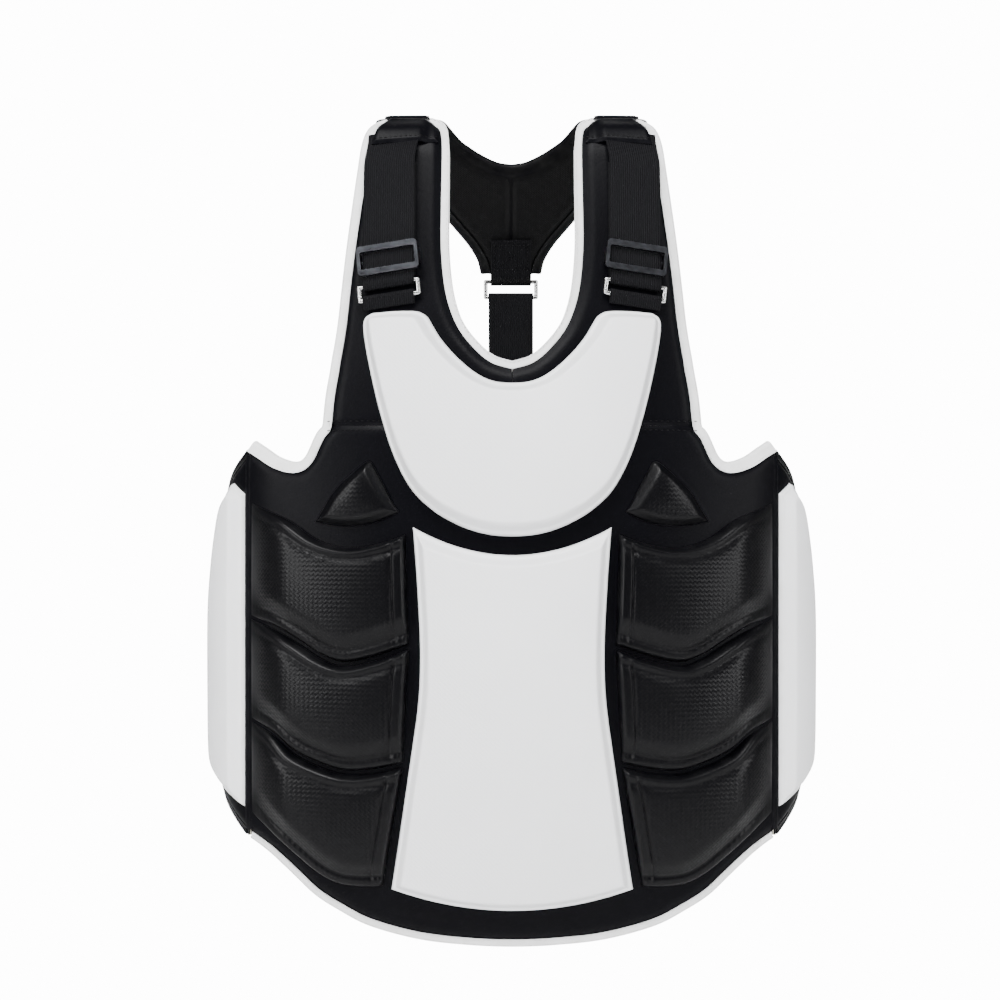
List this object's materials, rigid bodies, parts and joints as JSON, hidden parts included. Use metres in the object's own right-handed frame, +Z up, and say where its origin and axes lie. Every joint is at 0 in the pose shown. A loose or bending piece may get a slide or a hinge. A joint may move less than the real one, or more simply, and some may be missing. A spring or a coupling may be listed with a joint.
{
  "type": "chest protector",
  "caption": "Padded front body protector for pad work, with side wings, a shoulder yoke, adjustable shoulder webbing and a wrap-round waist belt.",
  "frame": {"origin": "midway between the two shoulder tops, on the face that rests on the wearer", "axes": "+Z up, -Y out of the wearer's chest, +X towards the wearer's left arm"},
  "size_m": [0.4596, 0.2541, 0.6173],
  "materials": {
    "lining_cloth": "woven mesh lining",
    "board_foam": "dense closed-cell foam",
    "pad_foam": "closed-cell foam",
    "white_leather": "satin synthetic leather with a fine weave emboss",
    "black_leather": "satin synthetic leather",
    "embossed_leather": "satin synthetic leather with a diamond weave emboss",
    "white_binding": "smooth binding tape",
    "black_binding": "smooth binding tape",
    "webbing": "ribbed elastic webbing",
    "slider_metal": "gunmetal plated slider",
    "ring_metal": "nickel plated wire",
    "hook_and_pile": "hook and pile tape",
    "belt_fabric": "padded elastic belt"
  },
  "bodies": {
    "shell": {"trunk_lining": "lining_cloth", "trunk_board": "board_foam", "trunk_cover": "black_leather", "flap_lining_left": "lining_cloth", "flap_lining_right": "lining_cloth", "flap_board_left": "board_foam", "flap_board_right": "board_foam", "flap_cover_left": "black_leather", "flap_cover_right": "black_leather", "shoulder_cap_left": "black_leather", "shoulder_cap_right": "black_leather", "chest_pad_foam": "pad_foam", "chest_pad_cover": "white_leather", "belly_pad_foam": "pad_foam", "belly_pad_cover": "white_leather", "rib_foams_left": "pad_foam", "rib_foams_right": "pad_foam", "upper_rib_cover_left": "embossed_leather", "upper_rib_cover_right": "embossed_leather", "middle_rib_cover_left": "embossed_leather", "middle_rib_cover_right": "embossed_leather", "lower_rib_cover_left": "embossed_leather", "lower_rib_cover_right": "embossed_leather", "corner_pad_cover_left": "embossed_leather", "corner_pad_cover_right": "embossed_leather", "neck_binding": "white_binding", "hem_binding": "white_binding", "armhole_binding_left": "white_binding", "armhole_binding_right": "white_binding", "shoulder_webbing_left": "webbing", "shoulder_webbing_right": "webbing", "ring_tab_left": "webbing", "ring_tab_right": "webbing", "ring_left": "ring_metal", "ring_right": "ring_metal"},
    "left_wing": {"wing_lining_left": "lining_cloth", "wing_board_left": "board_foam", "wing_cover_left": "black_leather", "wing_pad_foam_left": "pad_foam", "wing_pad_cover_left": "white_leather"},
    "right_wing": {"wing_lining_right": "lining_cloth", "wing_board_right": "board_foam", "wing_cover_right": "black_leather", "wing_pad_foam_right": "pad_foam", "wing_pad_cover_right": "white_leather", "belt_tab": "belt_fabric", "belt_pile_patch": "hook_and_pile"},
    "belt": {"belt": "belt_fabric", "belt_hook_patch": "hook_and_pile"},
    "yoke": {"yoke_lining": "lining_cloth", "yoke_board": "board_foam", "yoke_cover": "black_leather", "yoke_binding": "black_binding", "yoke_tab": "webbing"},
    "back_ring": {"back_ring": "ring_metal"},
    "back_strap": {"back_strap": "webbing", "back_strap_patch": "hook_and_pile"},
    "slider_left": {"slider_left": "slider_metal"},
    "slider_right": {"slider_right": "slider_metal"}
  },
  "joints": [
    {"name": "belt_opening", "type": "hinge", "parent": "left_wing", "child": "belt", "pos_m": [0.2208, 0.0076, -0.415], "axis": [0, 0, -1], "range_deg": [0, 95]},
    {"name": "left_wing_flex", "type": "hinge", "parent": "shell", "child": "left_wing", "pos_m": [0.193, -0.0512, -0.38], "axis": [0, 0, -1], "range_deg": [0, 25]},
    {"name": "right_wing_flex", "type": "hinge", "parent": "shell", "child": "right_wing", "pos_m": [-0.193, -0.0512, -0.38], "axis": [0, 0, 1], "range_deg": [0, 25]},
    {"name": "yoke_fold", "type": "hinge", "parent": "shell", "child": "yoke", "pos_m": [0, -0.0216, -0.0053], "axis": [-1, 0, 0], "range_deg": [0, 35]},
    {"name": "back_ring_swing", "type": "hinge", "parent": "yoke", "child": "back_ring", "pos_m": [0, 0.1185, -0.10603], "axis": [-1, 0, 0], "range_deg": [0, 15]},
    {"name": "back_strap_swing", "type": "hinge", "parent": "back_ring", "child": "back_strap", "pos_m": [0, 0.1185, -0.11843], "axis": [-1, 0, 0], "range_deg": [-35, 0]},
    {"name": "left_slider_travel", "type": "slide", "parent": "shell", "child": "slider_left", "axis": [0, 0.1954, 0.9807], "range_m": [0, 0.05]},
    {"name": "right_slider_travel", "type": "slide", "parent": "shell", "child": "slider_right", "axis": [0, 0.1954, 0.9807], "range_m": [0, 0.05]}
  ],
  "couplings": [
    {"joint": "left_wing_flex", "follows": "belt_opening", "ratio": 0.25},
    {"joint": "right_wing_flex", "follows": "belt_opening", "ratio": 0.25},
    {"joint": "back_strap_swing", "follows": "yoke_fold", "ratio": -1}
  ]
}
